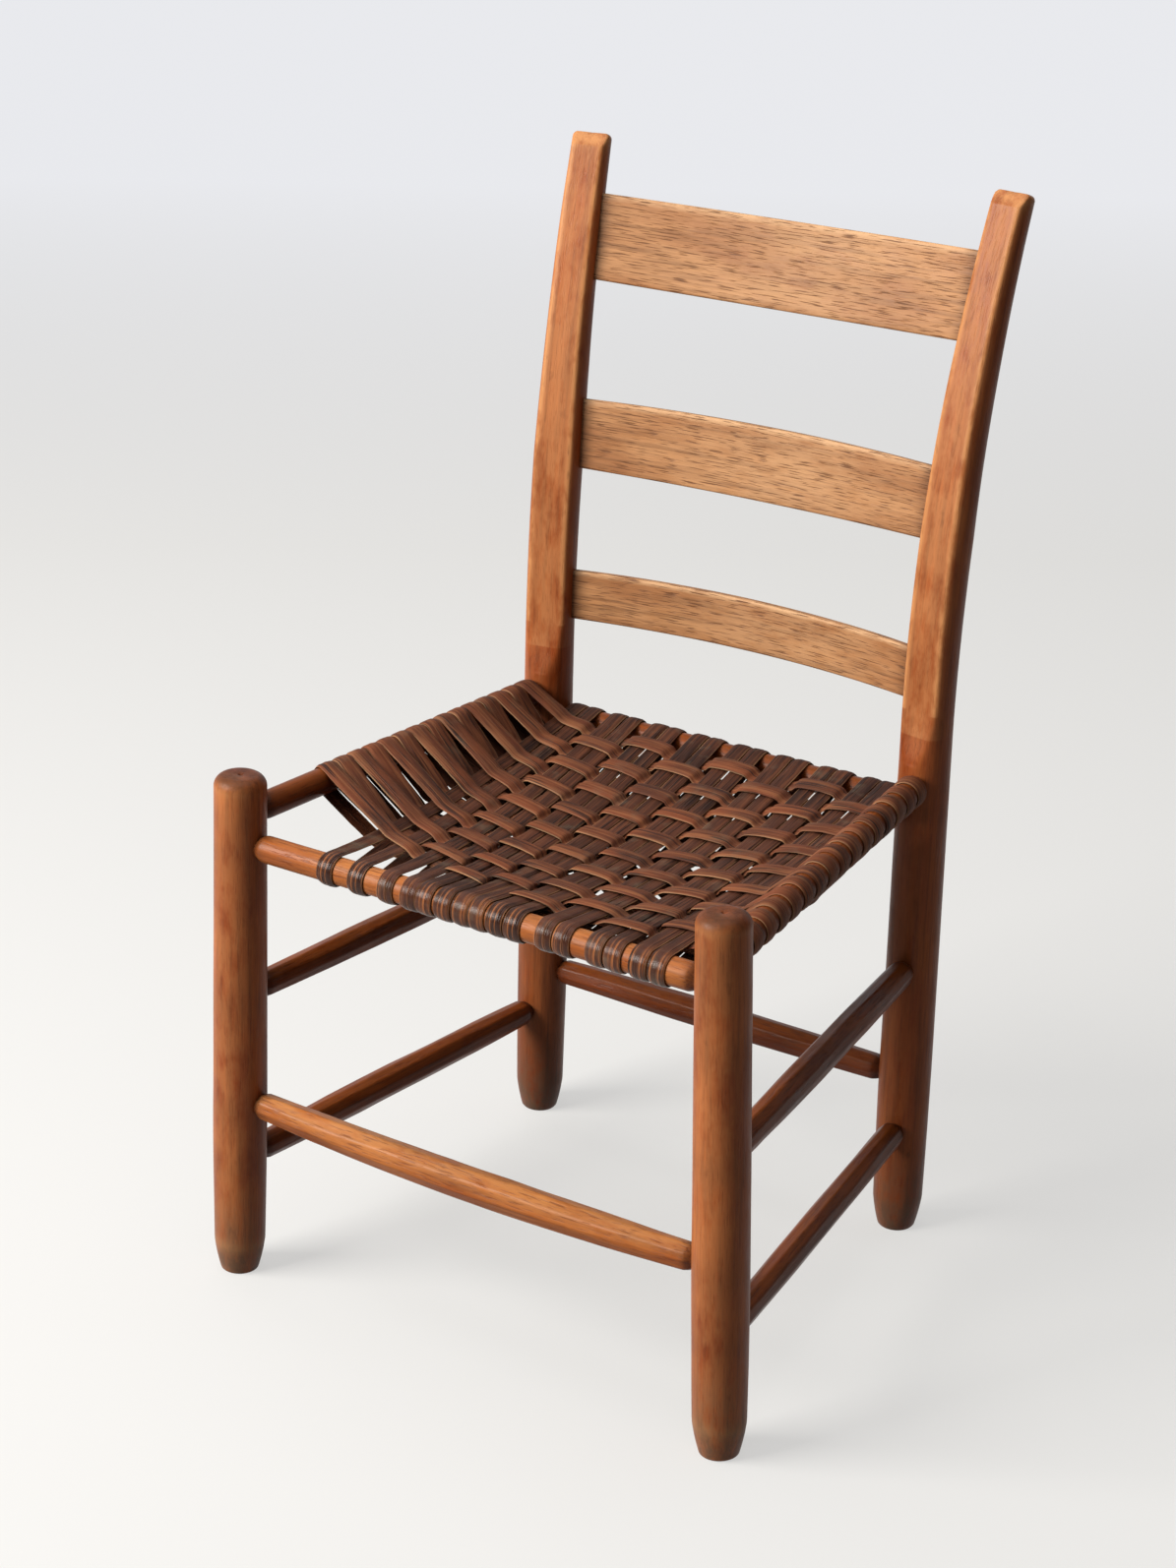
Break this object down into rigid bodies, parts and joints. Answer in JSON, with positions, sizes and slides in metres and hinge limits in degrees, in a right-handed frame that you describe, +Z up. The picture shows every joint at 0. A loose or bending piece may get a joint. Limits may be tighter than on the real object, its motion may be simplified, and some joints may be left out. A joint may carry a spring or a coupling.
{
  "type": "ladderback chair",
  "caption": "Armless ladderback side chair with turned posts, bent rear posts flattened at the front, bowed slats, whittled rungs and a seat woven from flat bark strips.",
  "frame": {"origin": "on the floor, midway between the left and right legs and under the middle of the chair's overall box from front to back", "axes": "+Z up from the floor, -Y out of the front of the seat, +X to the right as seen from the front"},
  "size_m": [0.4936, 0.4744, 0.8561],
  "materials": {
    "post_wood": "old satin varnish, reddish brown, worn pale on the edges",
    "slat_wood": "worn satin, tan with dark open grain",
    "rung_wood": "old satin varnish over whittled wood",
    "bark": "dry fibrous bark, glossy where it turns over the front rung"
  },
  "bodies": {
    "root": {"front_left_post": "post_wood", "front_right_post": "post_wood", "rear_left_post": "post_wood", "rear_right_post": "post_wood", "top_slat": "slat_wood", "middle_slat": "slat_wood", "bottom_slat": "slat_wood", "front_seat_rung": "rung_wood", "rear_seat_rung": "rung_wood", "left_seat_rung": "rung_wood", "right_seat_rung": "rung_wood", "front_lower_rung": "rung_wood", "rear_lower_rung": "rung_wood", "left_upper_rung": "rung_wood", "right_upper_rung": "rung_wood", "left_lower_rung": "rung_wood", "right_lower_rung": "rung_wood", "warp_strip_left_a": "bark", "warp_strip_right_a": "bark", "warp_strip_left_b": "bark", "warp_strip_right_b": "bark", "weft_strip_1": "bark", "weft_strip_2": "bark", "weft_strip_3": "bark", "weft_strip_4": "bark"}
  },
  "joints": []
}
